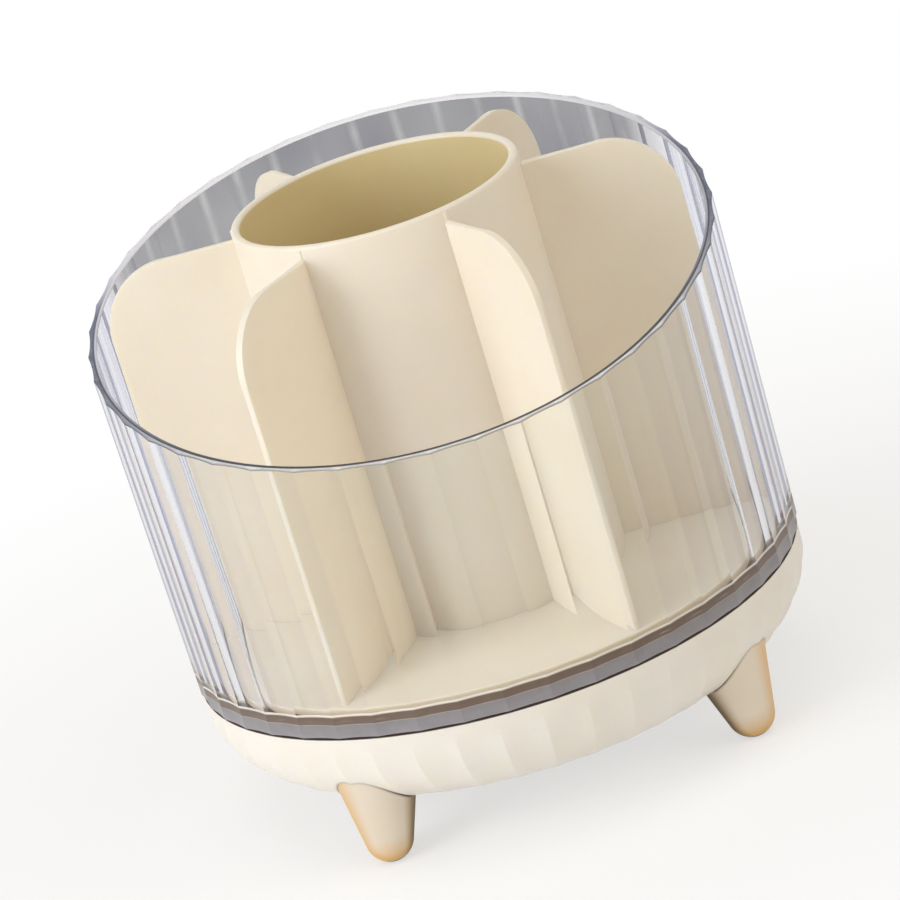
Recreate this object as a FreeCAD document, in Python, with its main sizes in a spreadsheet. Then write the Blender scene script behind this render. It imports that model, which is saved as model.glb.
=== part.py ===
"""Rotating makeup brush holder: a clear fluted cup with a divider insert, on a footed turntable base.

The axis of rotation is +Z, the feet stand on z = 0 and the low side of the cup's rim faces -Y.
Lengths are millimetres and angles are degrees.
"""
import FreeCAD, Part
import math
import os
import re

import Sketcher

Vector = FreeCAD.Vector

SIZES = [
    # clear cup
    ("cup_radius", 72.0),
    ("cup_taper", 1.04),
    ("cup_wall", 2.2),
    ("cup_floor", 2.6),
    ("cup_corner", 1.6),
    ("cup_flute_depth", 0.5),
    ("cup_angle", 0.3),
    ("rim_height", 81.6),
    ("rim_slope", 14.1),
    ("flute_count", 44),
    # base bowl
    ("turning_gap", 0.4),
    ("base_setback", 0.4),
    ("base_depth", 20.2),
    ("base_side_radius", 22.6),
    ("base_side_overhang", 1.1),
    ("base_side_blend", 12.6),
    ("base_wall", 2.5),
    ("base_floor", 2.5),
    ("base_flute_depth", 0.55),
    ("base_flute_start", 1.5),
    ("base_flute_fade", 6.0),
    ("base_angle", 5.9),
    # feet
    ("foot_rise", 15.0),
    ("foot_screw_offset", 5.43),
    ("foot_angle", 50.5),
    ("foot_splay", 8.24),
    ("foot_taper", 13.8),
    ("foot_tip_radius", 5.6),
    ("foot_tip_flat", 0.3),
    ("foot_rooting", 11.0),
    # divider insert
    ("insert_height", 100.2),
    ("insert_standoff", 1.1),
    ("insert_floor", 2.1),
    ("insert_clearance", 1.5),
    ("insert_angle", 54.0),
    ("insert_ring_inset", 9.0),
    ("insert_ring_width", 2.0),
    ("tube_radius", 33.7),
    ("tube_wall", 2.0),
    ("tube_lip_round", 0.7),
    ("fin_count", 6),
    ("fin_thickness", 1.6),
    ("fin_inset", 1.0),
    ("fin_drop", 3.0),
    ("fin_corner", 16.0),
    ("spine_width", 0.9),
    ("spine_proud", 0.5),
    ("spine_drop", 0.8),
    # ball race between base and turntable
    ("pedestal_height", 2.5),
    ("rib_width", 2.0),
    ("race_thickness", 2.6),
    ("race_gap", 3.0),
    ("race_land", 2.8),
    ("race_setback", 5.4),
    ("race_screw_inset", 6.3),
    ("race_screw_land", 1.4),
    ("ball_diameter", 6.0),
    ("ball_count", 8),
    ("ball_clearance", 0.1),
    ("cage_thickness", 1.8),
    ("cage_land", 1.9),
    # turntable plate and its pivot
    ("plate_clearance", 5.1),
    ("plate_thickness", 3.0),
    ("boss_wall", 2.5),
    ("hub_gap", 0.3),
    ("hub_wall", 4.1),
    ("bolt_radius", 2.5),
    ("bolt_head_radius", 4.6),
    ("bolt_head_height", 2.8),
    ("bolt_head_gap", 0.3),
    ("bolt_head_play", 0.3),
    ("bolt_end_length", 0.5),
    ("bolt_end_recess", 0.3),
    ("running_clearance", 0.05),
    ("bush_wall", 1.6),
    ("bush_length", 5.4),
    ("bush_flange", 0.8),
    ("bush_flange_lap", 0.35),
    ("washer_width", 4.95),
    ("washer_thickness", 1.0),
    ("washer_gap", 0.2),
    ("nut_height", 4.0),
    ("nut_width", 8.0),
    ("pocket_play", 3.5),
    # screws
    ("screw_radius", 1.5),
    ("screw_head_radius", 2.8),
    ("screw_head_height", 1.7),
    ("screw_length", 6.4),
    ("screw_clearance", 0.05),
    ("screw_count", 4),
    ("cup_screw_gap", 1.95),
    ("foot_screw_gap", 0.4),
    ("foot_screw_length", 7.0),
    ("foot_screw_head_height", 1.6),
    ("foot_screw_head_radius", 2.4),
    # how far a cutting tool runs past the face it opens
    ("cut_over", 1.0),
]

# sections that the bowl's fluted side is lofted through, besides its lip
BOWL_STEPS = 9

FOOT_NAMES = ["foot_rear_right", "foot_rear_left", "foot_front_left", "foot_front_right"]

# radii of fits and fasteners, as expressions of the sizes
groove_radius = "(ball_diameter / 2 + ball_clearance)"
groove_reach = f"sqrt({groove_radius}^2 - (race_gap / 2)^2)"
bush_bore = "(bolt_radius + running_clearance)"
bush_radius = f"({bush_bore} + bush_wall)"
screw_hole = "(screw_radius + screw_clearance)"
screw_boss = f"({screw_hole} + boss_wall)"
boss_radius = f"({bush_radius} + boss_wall)"
washer_radius = f"({bush_bore} + washer_width)"
pocket_radius = f"({washer_radius} + pocket_play)"

# radii of the cup, the bowl and the insert
base_radius = "(cup_radius - base_setback)"
cup_growth = "tan(cup_taper)"
cup_bore_low = f"(cup_radius - cup_wall + {cup_growth} * cup_floor)"
insert_radius = f"({cup_bore_low} - insert_clearance)"
fin_reach = f"({insert_radius} - fin_inset)"

# the bowl's side: an arc blends its upright wall into the round side under it
side_inset = "(base_side_radius - base_side_overhang)"
side_centre = f"({base_radius} - {side_inset})"
blend_run = f"({side_inset} - base_side_blend)"
blend_reach = "(base_side_radius - base_side_blend)"
blend_drop = f"sqrt({blend_reach}^2 - {blend_run}^2)"
inner_side = "(base_side_radius - base_wall)"
base_floor_radius = f"({side_centre} + sqrt({inner_side}^2 - (base_depth - base_floor)^2))"
foot_screw_circle = f"({base_floor_radius} - foot_screw_head_radius - foot_screw_gap)"
foot_reach = f"({foot_screw_circle} + foot_screw_offset)"

# radii of the race and the turntable
race_outer = f"({foot_screw_circle} - foot_screw_head_radius - race_setback)"
ball_circle = f"({race_outer} - race_land - {groove_reach})"
race_screw_circle = f"({ball_circle} - race_screw_inset)"
race_inner = f"({race_screw_circle} - screw_head_radius - race_screw_land)"
cup_screw_circle = f"({race_inner} - {screw_boss} - cup_screw_gap)"
plate_radius = f"({base_radius} - base_wall - plate_clearance)"
outer_rib = (f"({race_outer} - rib_width)", race_outer)
inner_rib = (race_inner, f"({race_inner} + rib_width)")

# heights above the ground
base_under = "foot_rise"
base_lip = "(foot_rise + base_depth)"
base_inside = "(foot_rise + base_floor)"
cup_under = f"({base_lip} + turning_gap)"
cup_inside = f"({cup_under} + cup_floor)"
insert_under = f"({cup_inside} + insert_standoff)"
insert_inside = f"({insert_under} + insert_floor)"
tube_top = f"({cup_inside} + insert_height)"
lower_race_under = f"({base_inside} + pedestal_height)"
lower_race_top = f"({lower_race_under} + race_thickness)"
upper_race_under = f"({lower_race_top} + race_gap)"
upper_race_top = f"({upper_race_under} + race_thickness)"
ball_height = f"({lower_race_top} + race_gap / 2)"
plate_under = f"({cup_under} - plate_thickness)"
bolt_end = f"({base_under} + bolt_end_recess)"
nut_under = f"({bolt_end} + bolt_end_length)"
nut_top = f"({nut_under} + nut_height)"
washer_top = f"({nut_top} + washer_thickness)"
pocket_roof = f"({washer_top} + washer_gap)"
boss_top = f"({pocket_roof} + bush_length)"
flange_top = f"({boss_top} + bush_flange)"
hub_under = f"({flange_top} + hub_gap)"
bolt_seat = f"({cup_under} - bolt_head_gap - bolt_head_height)"

doc = FreeCAD.newDocument("brush_holder")
sheet = doc.addObject("Spreadsheet::Sheet", "Sizes")
for row, (alias, value) in enumerate(SIZES, 1):
    sheet.set(f"A{row}", alias.replace("_", " "))
    sheet.set(f"B{row}", str(value))
    sheet.setAlias(f"B{row}", alias)
doc.recompute()


def bound(text):
    """The expression with each size's name pointed at its cell."""
    return re.sub(r"\b[a-z]+(?:_[a-z]+)+\b", lambda found: "Sizes." + found.group(), str(text))


def number(text):
    """The present value of an expression of sizes."""
    value = sheet.evalExpression(bound(text))
    return float(getattr(value, "Value", value))


def datum(body, role):
    return next(feature for feature in body.Origin.OriginFeatures if feature.Role == role)


def place(thing, x="0", y="0", z="0"):
    """Binds where the thing stands."""
    for axis, text in (("x", x), ("y", y), ("z", z)):
        thing.setExpression(f"Placement.Base.{axis}", bound(text))
    return thing


def turn(thing, degrees):
    """Binds the thing's turn, which is about the vertical axis unless it has been given another."""
    thing.setExpression("Placement.Rotation.Angle", bound(degrees))
    return thing


def pin_down(sketch, edge, end, corner):
    """Holds one end of an edge at a corner given by two expressions."""
    for kind, axis, text in (("DistanceX", -2, corner[0]), ("DistanceY", -1, corner[1])):
        if text == "0":
            sketch.addConstraint(Sketcher.Constraint("PointOnObject", edge, end, axis))
            continue
        rule = sketch.addConstraint(Sketcher.Constraint(kind, -1, 1, edge, end, number(text)))
        sketch.setExpression(f"Constraints[{rule}]", bound(text))


def arc_between(first, last, radius, side):
    """The short arc from first to last whose centre lies on that side of the way, drawn anticlockwise."""
    chord = last - first
    rise = math.sqrt(max(radius ** 2 - chord.Length ** 2 / 4, 0))
    across = Vector(-chord.y, chord.x, 0).normalize() * (rise if side == "left" else -rise)
    centre = (first + last) / 2 + across
    start, end = (first, last) if side == "left" else (last, first)
    angles = [math.atan2(point.y - centre.y, point.x - centre.x) for point in (start, end)]
    circle = Part.Circle(centre, Vector(0, 0, 1), radius)
    return Part.ArcOfCircle(circle, angles[0], angles[1])


def outline(body, name, corners):
    """A closed upright sketch through corners (x, z), or (x, z, radius, side) where an arc leaves one."""
    sketch = body.newObject("Sketcher::SketchObject", name)
    sketch.AttachmentSupport = (datum(body, "XZ_Plane"), [""])
    sketch.MapMode = "FlatFace"
    points = [Vector(number(corner[0]), number(corner[1]), 0) for corner in corners]
    ends = []
    for index, corner in enumerate(corners):
        first, last = points[index], points[(index + 1) % len(points)]
        if len(corner) == 2:
            edge = sketch.addGeometry(Part.LineSegment(first, last), False)
            ends.append((edge, 1, 2))
            continue
        radius, side = corner[2:]
        edge = sketch.addGeometry(arc_between(first, last, number(radius), side), False)
        rule = sketch.addConstraint(Sketcher.Constraint("Radius", edge, number(radius)))
        sketch.setExpression(f"Constraints[{rule}]", bound(radius))
        ends.append((edge, 1, 2) if side == "left" else (edge, 2, 1))
    for index, (edge, start, _) in enumerate(ends):
        before, _, finish = ends[index - 1]
        sketch.addConstraint(Sketcher.Constraint("Coincident", before, finish, edge, start))
        pin_down(sketch, edge, start, corners[index])
    return sketch


def revolve(body, name, corners):
    """Turns an outline of (radius, height) corners about the vertical axis."""
    sketch = outline(body, name + "_outline", corners)
    feature = body.newObject("PartDesign::Revolution", name)
    feature.Profile = sketch
    feature.ReferenceAxis = (sketch, ["V_Axis"])
    feature.Angle = 360
    return feature


def turned(label, corners):
    """A body that is one turned outline."""
    body = doc.addObject("PartDesign::Body", label)
    revolve(body, label + "_turning", corners)
    return body


def ring_corners(inner, outer, low, high):
    return [(inner, low), (outer, low), (outer, high), (inner, high)]


def repeat(body, feature, count):
    """A polar pattern of the feature about the vertical axis."""
    pattern = body.newObject("PartDesign::PolarPattern", feature.Name + "_pattern")
    pattern.Originals = [feature]
    pattern.Axis = (datum(body, "Z_Axis"), [""])
    pattern.Angle = 360
    pattern.setExpression("Occurrences", bound(count))
    body.Tip = pattern
    return pattern


def cylinder(label, radius, low, high):
    """A vertical cylinder between two heights."""
    solid = doc.addObject("Part::Cylinder", label)
    solid.setExpression("Radius", bound(radius))
    solid.setExpression("Height", bound(f"{high} - {low}"))
    return place(solid, z=low)


def fuse(label, solids):
    joined = doc.addObject("Part::MultiFuse", label)
    joined.Shapes = solids
    return joined


def gather(label, solids):
    """Separate solids kept in one group."""
    group = doc.addObject("Part::Compound", label)
    group.Links = solids
    return group


def cut(label, solid, tool):
    rest = doc.addObject("Part::Cut", label)
    rest.Base = solid
    rest.Tool = tool
    return rest


def on_circle(solids, radius, first_angle="0"):
    """Spreads the solids evenly on a circle, keeping their height."""
    step = 360 / len(solids)
    for index, solid in enumerate(solids):
        angle = f"({first_angle} + {index * step})"
        solid.setExpression("Placement.Base.x", bound(f"{radius} * cos({angle})"))
        solid.setExpression("Placement.Base.y", bound(f"{radius} * sin({angle})"))
    return solids


def whole(text):
    return int(round(number(text)))


# fluted forms

def fluted_ring(radius, height, depth):
    """A closed ring of scallops: ridges on the radius, and valleys that deep between them."""
    count = whole("flute_count")
    half = math.pi / count
    scallops = []
    for index in range(count):
        middle = 2 * math.pi * index / count
        points = []
        for angle, reach in ((middle - half, radius), (middle, radius - depth), (middle + half, radius)):
            points.append(Vector(reach * math.cos(angle), reach * math.sin(angle), height))
        scallops.append(Part.Edge(Part.Arc(*points)))
    return Part.Wire(scallops)


def fluted_solid(label, rings, turn_text):
    """A solid lofted through rings of (radius, height, depth)."""
    solid = doc.addObject("Part::Feature", label)
    solid.Shape = Part.makeLoft([fluted_ring(*ring) for ring in rings], True)
    return turn(solid, turn_text)


def base_reach(below_lip):
    """The radius of the bowl's ridges at a depth below the lip."""
    drop = number(blend_drop)
    side, blend = number("base_side_radius"), number("base_side_blend")
    if below_lip <= drop:
        return number(base_radius)
    if below_lip <= drop * side / number(blend_reach):
        return number(base_radius) - blend + math.sqrt(blend ** 2 - (below_lip - drop) ** 2)
    return number(side_centre) + math.sqrt(side ** 2 - below_lip ** 2)


def base_form():
    """The bowl's outside as a solid: plain at the lip, with flutes that deepen below it."""
    side, lip = number("base_side_radius"), number(base_lip)
    start, fade = number("base_flute_start"), number("base_flute_fade")
    last_angle = math.asin(number("base_depth") / side)
    rings = []
    for step in range(BOWL_STEPS, -1, -1):
        below = side * math.sin(last_angle * step / BOWL_STEPS)
        share = min(max((below - start) / fade, 0), 1)
        flute = number("base_flute_depth") * share ** 2 * (3 - 2 * share)
        rings.append((base_reach(below), lip - below, flute))
    return fluted_solid("base_form", rings, "base_angle")


# base

def base_cavity():
    """The bowl's inside: wall, floor, race ribs and pivot boss are what it leaves."""
    inner_radius = f"({base_radius} - base_wall)"
    inner_blend = "(base_side_blend - base_wall)"
    blend_end = (
        f"({side_centre} + {inner_side} * {blend_run} / {blend_reach})",
        f"({base_lip} - {inner_side} * {blend_drop} / {blend_reach})",
    )
    roof_top = f"({pocket_roof} + base_floor)"
    pocket_wall = f"({pocket_radius} + base_wall)"
    open_top = f"({base_lip} + cut_over)"
    corners = [
        ("0", boss_top),
        (boss_radius, boss_top),
        (boss_radius, roof_top),
        (pocket_wall, roof_top),
        (pocket_wall, base_inside),
        (inner_rib[0], base_inside),
        (inner_rib[0], lower_race_under),
        (inner_rib[1], lower_race_under),
        (inner_rib[1], base_inside),
        (outer_rib[0], base_inside),
        (outer_rib[0], lower_race_under),
        (outer_rib[1], lower_race_under),
        (outer_rib[1], base_inside),
        (base_floor_radius, base_inside, inner_side, "left"),
        (*blend_end, inner_blend, "left"),
        (inner_radius, f"({base_lip} - {blend_drop})"),
        (inner_radius, open_top),
        ("0", open_top),
    ]
    return turned("base_cavity", corners)


def base_holes():
    """The pocket under the pivot, the bush's bore and the screws' holes."""
    pocket = cylinder("nut_pocket", pocket_radius, f"({base_under} - cut_over)", pocket_roof)
    bore = cylinder("bush_bore", bush_radius, f"({pocket_roof} - cut_over)", f"({boss_top} + cut_over)")
    count = whole("screw_count")
    pilot_low = f"({lower_race_top} - screw_length - screw_clearance)"
    pilots = [cylinder(f"race_pilot_{i}", screw_hole, pilot_low, lower_race_top) for i in range(count)]
    low, high = f"({base_under} - cut_over)", f"({base_inside} + cut_over)"
    feet = [cylinder(f"foot_hole_{i}", screw_hole, low, high) for i in range(len(FOOT_NAMES))]
    on_circle(pilots, race_screw_circle)
    on_circle(feet, foot_screw_circle, "foot_angle")
    return fuse("base_holes", [pocket, bore] + pilots + feet)


def base_shell(form):
    count = whole("screw_count")
    low = f"({base_inside} - base_floor / 2)"
    bosses = [cylinder(f"race_boss_{i}", screw_boss, low, lower_race_under) for i in range(count)]
    on_circle(bosses, race_screw_circle)
    bowl = cut("base_bowl", form, base_cavity())
    return cut("base_shell", fuse("base_with_bosses", [bowl] + bosses), base_holes())


def foot(name, index, form):
    """A round tapered foot that splays outwards, cut to the bowl's fluted underside."""
    tip = "foot_tip_radius"
    length = f"(({base_under} + foot_rooting) / cos(foot_splay))"
    tangent = (f"{tip} * cos(foot_taper)", f"(-{tip} * sin(foot_taper))")
    top_radius = f"({tip} / cos(foot_taper) + {length} * tan(foot_taper))"
    corners = [("0", f"(-{tip})", tip, "left"), tangent, (top_radius, length), ("0", length)]
    horn = turned(name + "_horn", corners)
    centre_height = f"({tip} - foot_tip_flat)"
    centre_reach = f"({foot_reach} - {centre_height} * tan(foot_splay))"
    angle = f"(foot_angle + {index * 360 / len(FOOT_NAMES)})"
    centre = f"vector({centre_reach} * cos({angle}); {centre_reach} * sin({angle}); {centre_height})"
    lean = f"rotation(vector(sin({angle}); -cos({angle}); 0); foot_splay)"
    horn.setExpression("Placement", bound(f"placement({centre}; {lean})"))
    floor = doc.addObject("Part::Box", name + "_ground")
    for side in ("Length", "Width", "Height"):
        floor.setExpression(side, bound("4 * cup_radius"))
    place(floor, "-2 * cup_radius", "-2 * cup_radius", "-4 * cup_radius")
    low = f"({base_inside} - foot_screw_length - screw_clearance)"
    hole = cylinder(name + "_hole", screw_hole, low, f"({base_under} + cut_over)")
    place(hole, f"{foot_screw_circle} * cos({angle})", f"{foot_screw_circle} * sin({angle})", low)
    return cut(name, horn, fuse(name + "_trim", [form, floor, hole]))


# screws

def countersunk_screw(label, head_height, direction):
    """A screw whose flat head lies at that height, with its shank below (-1) or above (1) it."""
    tip = f"({head_height} + {direction} * screw_length)"
    neck = f"({head_height} + {direction} * screw_head_height)"
    corners = [("0", head_height), ("screw_head_radius", head_height), ("screw_radius", neck)]
    corners += [("screw_radius", tip), ("0", tip)]
    if direction < 0:
        corners.reverse()
    return turned(label, corners)


def countersink(label, head_height, direction, reach):
    """The hole for a countersunk screw, through a part that thick."""
    head = "(screw_head_radius + screw_clearance)"
    over = f"({head_height} - {direction} * screw_clearance)"
    neck = f"({head_height} + {direction} * screw_head_height)"
    tip = f"({head_height} + {direction} * {reach})"
    corners = [("0", over), (head, over), (screw_hole, neck), (screw_hole, tip), ("0", tip)]
    if direction < 0:
        corners.reverse()
    return turned(label, corners)


def screw_set(label, head_height, direction, circle):
    count = whole("screw_count")
    screws = [countersunk_screw(f"{label}_{i}", head_height, direction) for i in range(count)]
    return gather(label, on_circle(screws, circle))


def foot_screws():
    """Pan-head screws that hold the feet from inside the bowl."""
    top = f"({base_inside} + foot_screw_head_height)"
    tip = f"({base_inside} - foot_screw_length)"
    corners = [("0", tip), ("screw_radius", tip), ("screw_radius", base_inside)]
    corners += [("foot_screw_head_radius", base_inside), ("foot_screw_head_radius", top), ("0", top)]
    screws = [turned(f"foot_screw_{i}", corners) for i in range(len(FOOT_NAMES))]
    return gather("foot_screws", on_circle(screws, foot_screw_circle, "foot_angle"))


# ball race

def race(label, low, high, groove_face, head_height, direction):
    """A flat ring with a ball groove in one face and countersunk screw holes."""
    near, far = f"({ball_circle} - {groove_reach})", f"({ball_circle} + {groove_reach})"
    if groove_face == "top":
        corners = [(race_inner, low), (race_outer, low), (race_outer, high)]
        corners += [(far, high, groove_radius, "right"), (near, high), (race_inner, high)]
    else:
        corners = [(race_inner, low), (near, low, groove_radius, "right"), (far, low)]
        corners += [(race_outer, low), (race_outer, high), (race_inner, high)]
    ring = turned(label + "_ring", corners)
    count = whole("screw_count")
    reach_through = "(race_thickness + screw_clearance)"
    holes = [countersink(f"{label}_hole_{i}", head_height, direction, reach_through) for i in range(count)]
    return cut(label, ring, gather(label + "_holes", on_circle(holes, race_screw_circle)))


def ball_cage():
    body = doc.addObject("PartDesign::Body", "ball_cage")
    low = f"({ball_height} - cage_thickness / 2)"
    high = f"({ball_height} + cage_thickness / 2)"
    half_width = f"({groove_radius} + cage_land)"
    inner, outer = f"({ball_circle} - {half_width})", f"({ball_circle} + {half_width})"
    revolve(body, "cage_ring", ring_corners(inner, outer, low, high))
    seat = body.newObject("Sketcher::SketchObject", "cage_seat_outline")
    seat.AttachmentSupport = (datum(body, "XY_Plane"), [""])
    seat.MapMode = "FlatFace"
    seat.setExpression("AttachmentOffset.Base.z", bound(low))
    start = Vector(number(ball_circle), 0, 0)
    circle = seat.addGeometry(Part.Circle(start, Vector(0, 0, 1), number(groove_radius)), False)
    seat.addConstraint(Sketcher.Constraint("PointOnObject", circle, 3, -1))
    centre = seat.addConstraint(Sketcher.Constraint("DistanceX", -1, 1, circle, 3, start.x))
    seat.setExpression(f"Constraints[{centre}]", bound(ball_circle))
    size = seat.addConstraint(Sketcher.Constraint("Radius", circle, number(groove_radius)))
    seat.setExpression(f"Constraints[{size}]", bound(groove_radius))
    hole = body.newObject("PartDesign::Pocket", "cage_seat")
    hole.Profile = seat
    hole.Type = "ThroughAll"
    hole.Reversed = True
    repeat(body, hole, "ball_count")
    return body


def bearing_balls():
    balls = []
    for index in range(whole("ball_count")):
        ball = doc.addObject("Part::Sphere", f"ball_{index}")
        ball.setExpression("Radius", bound("ball_diameter / 2"))
        balls.append(place(ball, z=ball_height))
    return gather("bearing_balls", on_circle(balls, ball_circle))


# turntable and pivot

def turntable_plate():
    """The disc under the cup: race ribs and screw bosses below it, and the pivot's hub."""
    shank = bush_bore
    head_hole = "(bolt_head_radius + bolt_head_play)"
    hub_radius = f"({head_hole} + hub_wall)"
    corners = [
        (shank, hub_under),
        (hub_radius, hub_under),
        (hub_radius, plate_under),
        (inner_rib[0], plate_under),
        (inner_rib[0], upper_race_top),
        (inner_rib[1], upper_race_top),
        (inner_rib[1], plate_under),
        (outer_rib[0], plate_under),
        (outer_rib[0], upper_race_top),
        (outer_rib[1], upper_race_top),
        (outer_rib[1], plate_under),
        (plate_radius, plate_under),
        (plate_radius, cup_under),
        (head_hole, cup_under),
        (head_hole, bolt_seat),
        (shank, bolt_seat),
    ]
    disc = turned("plate_disc", corners)
    count = whole("screw_count")
    into_plate = f"({plate_under} + plate_thickness / 2)"
    race_tip = f"({upper_race_under} + screw_length)"
    cup_tip = f"({cup_inside} - screw_length)"
    cup_boss_end = f"({cup_tip} - screw_clearance - boss_wall / 2)"
    race_bosses = [cylinder(f"plate_boss_{i}", screw_boss, upper_race_top, into_plate) for i in range(count)]
    cup_bosses = [cylinder(f"cup_boss_{i}", screw_boss, cup_boss_end, into_plate) for i in range(count)]
    race_end = f"({race_tip} + screw_clearance)"
    race_holes = [cylinder(f"plate_pilot_{i}", screw_hole, upper_race_under, race_end) for i in range(count)]
    cup_end = f"({cup_tip} - screw_clearance)"
    cup_holes = [cylinder(f"cup_pilot_{i}", screw_hole, cup_end, cup_inside) for i in range(count)]
    on_circle(race_bosses, race_screw_circle)
    on_circle(race_holes, race_screw_circle)
    on_circle(cup_bosses, cup_screw_circle)
    on_circle(cup_holes, cup_screw_circle)
    body = fuse("plate_body", [disc] + race_bosses + cup_bosses)
    return cut("turntable_plate", body, gather("plate_holes", race_holes + cup_holes))


def pivot_bolt():
    head_top = f"({bolt_seat} + bolt_head_height)"
    corners = [
        ("0", bolt_end),
        ("bolt_radius", bolt_end),
        ("bolt_radius", bolt_seat),
        ("bolt_head_radius", bolt_seat),
        ("bolt_head_radius", head_top),
        ("0", head_top),
    ]
    return turned("pivot_bolt", corners)


def pivot_bush():
    flange_radius = f"({boss_radius} + bush_flange_lap)"
    corners = [
        (bush_bore, pocket_roof),
        (bush_radius, pocket_roof),
        (bush_radius, boss_top),
        (flange_radius, boss_top),
        (flange_radius, flange_top),
        (bush_bore, flange_top),
    ]
    return turned("pivot_bush", corners)


def pivot_washer():
    return turned("pivot_washer", ring_corners(bush_bore, washer_radius, nut_top, washer_top))


def lock_nut():
    prism = doc.addObject("Part::Prism", "nut_prism")
    prism.Polygon = 6
    prism.setExpression("Circumradius", bound("nut_width / 2 / cos(30)"))
    prism.setExpression("Height", bound("nut_height"))
    place(prism, z=nut_under)
    bore = cylinder("nut_bore", bush_bore, f"({nut_under} - cut_over)", f"({nut_top} + cut_over)")
    return cut("lock_nut", prism, bore)


# cup and insert

def clear_cup():
    """A fluted cup with a thick floor, cut off at a slant so that the front of its rim is low."""
    growth = number(cup_growth)
    low = number(cup_under)
    height = number("rim_height + 2 * cup_radius * tan(rim_slope)")
    radius, flute = number("cup_radius"), number("cup_flute_depth")
    rings = [(radius, low, flute), (radius + growth * height, low + height, flute)]
    blank = fluted_solid("cup_blank", rings, "cup_angle")
    high = f"({cup_under} + rim_height + 3 * cup_radius * tan(rim_slope))"
    bore_high = f"(cup_radius - cup_wall + {cup_growth} * ({high} - {cup_under}))"
    corners = [
        ("0", cup_inside),
        (f"({cup_bore_low} - cup_corner)", cup_inside, "cup_corner", "left"),
        (cup_bore_low, f"({cup_inside} + cup_corner)"),
        (bore_high, high),
        ("0", high),
    ]
    walls = cut("cup_walls", blank, turned("cup_bore", corners))
    over = doc.addObject("Part::Box", "rim_cutter")
    over.setExpression("Length", bound("4 * cup_radius"))
    over.setExpression("Width", bound("6 * cup_radius"))
    over.setExpression("Height", bound("4 * cup_radius"))
    over.Placement.Rotation = FreeCAD.Rotation(Vector(1, 0, 0), 1)
    turn(over, "rim_slope")
    along = "3 * cup_radius"
    rim = f"({cup_under} + rim_height)"
    place(over, "-2 * cup_radius", f"-{along} * cos(rim_slope)", f"{rim} - {along} * sin(rim_slope)")
    count = whole("screw_count")
    reach = "(cup_floor + screw_clearance)"
    holes = [countersink(f"cup_hole_{i}", cup_inside, -1, reach) for i in range(count)]
    on_circle(holes, cup_screw_circle)
    return cut("clear_cup", cut("cup_slanted", walls, over), gather("cup_holes", holes))


def divider_insert():
    """One moulding: a round floor on a foot ring, a centre tube and fins that divide the space around it."""
    body = doc.addObject("PartDesign::Body", "divider_insert")
    bore = "(tube_radius - tube_wall)"
    ring_outer = f"({insert_radius} - insert_ring_inset)"
    ring_inner = f"({ring_outer} - insert_ring_width)"
    lip = "tube_lip_round"
    corners = [
        ("0", insert_under),
        (ring_inner, insert_under),
        (ring_inner, cup_inside),
        (ring_outer, cup_inside),
        (ring_outer, insert_under),
        (insert_radius, insert_under),
        (insert_radius, insert_inside),
        ("tube_radius", insert_inside),
        ("tube_radius", f"({tube_top} - {lip})", lip, "left"),
        (f"(tube_radius - {lip})", tube_top),
        (f"({bore} + {lip})", tube_top, lip, "left"),
        (bore, f"({tube_top} - {lip})"),
        (bore, insert_inside),
        ("0", insert_inside),
    ]
    revolve(body, "insert_turning", corners)
    root = "(tube_radius - tube_wall / 2)"
    fin_top = f"({tube_top} - fin_drop)"
    bury = f"({insert_inside} - insert_floor / 2)"
    fin_outline = [
        (root, bury),
        (fin_reach, bury),
        (fin_reach, f"({fin_top} - fin_corner)", "fin_corner", "left"),
        (f"({fin_reach} - fin_corner)", fin_top),
        (root, fin_top),
    ]
    spine_face = "(tube_radius + spine_proud)"
    spine_outline = ring_corners(root, spine_face, insert_inside, f"({tube_top} - spine_drop)")
    ribs = (("fin", fin_outline, "fin_thickness"), ("spine", spine_outline, "spine_width"))
    for name, shape, thickness in ribs:
        sketch = outline(body, name + "_outline", shape)
        pad = body.newObject("PartDesign::Pad", name)
        pad.Profile = sketch
        pad.Midplane = True
        pad.setExpression("Length", bound(thickness))
        doc.recompute()
        repeat(body, pad, "fin_count")
    turn(body, "insert_angle")
    return body


form = base_form()
nodes = [base_shell(form)]
nodes += [foot(name, index, form) for index, name in enumerate(FOOT_NAMES)]
nodes.append(foot_screws())
nodes.append(race("lower_race", lower_race_under, lower_race_top, "top", lower_race_top, -1))
nodes.append(screw_set("lower_race_screws", lower_race_top, -1, race_screw_circle))
nodes.append(ball_cage())
nodes.append(bearing_balls())
nodes.append(race("upper_race", upper_race_under, upper_race_top, "bottom", upper_race_under, 1))
nodes.append(screw_set("upper_race_screws", upper_race_under, 1, race_screw_circle))
nodes.append(turntable_plate())
nodes += [pivot_bush(), pivot_bolt(), pivot_washer(), lock_nut()]
nodes.append(clear_cup())
nodes.append(screw_set("cup_screws", cup_inside, -1, cup_screw_circle))
nodes.append(divider_insert())
doc.recompute()

faults = [thing.Label for thing in doc.Objects if {"Invalid", "Error"} & set(thing.State)]
faults += [node.Label for node in nodes if node.Shape.isNull() or not node.Shape.isValid()]
if faults:
    raise SystemExit("these failed: " + ", ".join(faults))

os.makedirs("parts", exist_ok=True)
for node in nodes:
    node.Shape.exportStep(f"parts/{node.Label}.step")
    print(node.Label, len(node.Shape.Solids), "solids", round(node.Shape.Volume, 1), "mm3")
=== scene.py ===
"""Rotating makeup brush holder: the finish of its pieces, the finely moulded ones remade, floor, lamps and camera."""

import math

import bmesh
import bpy
from mathutils import Matrix, Vector

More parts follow.
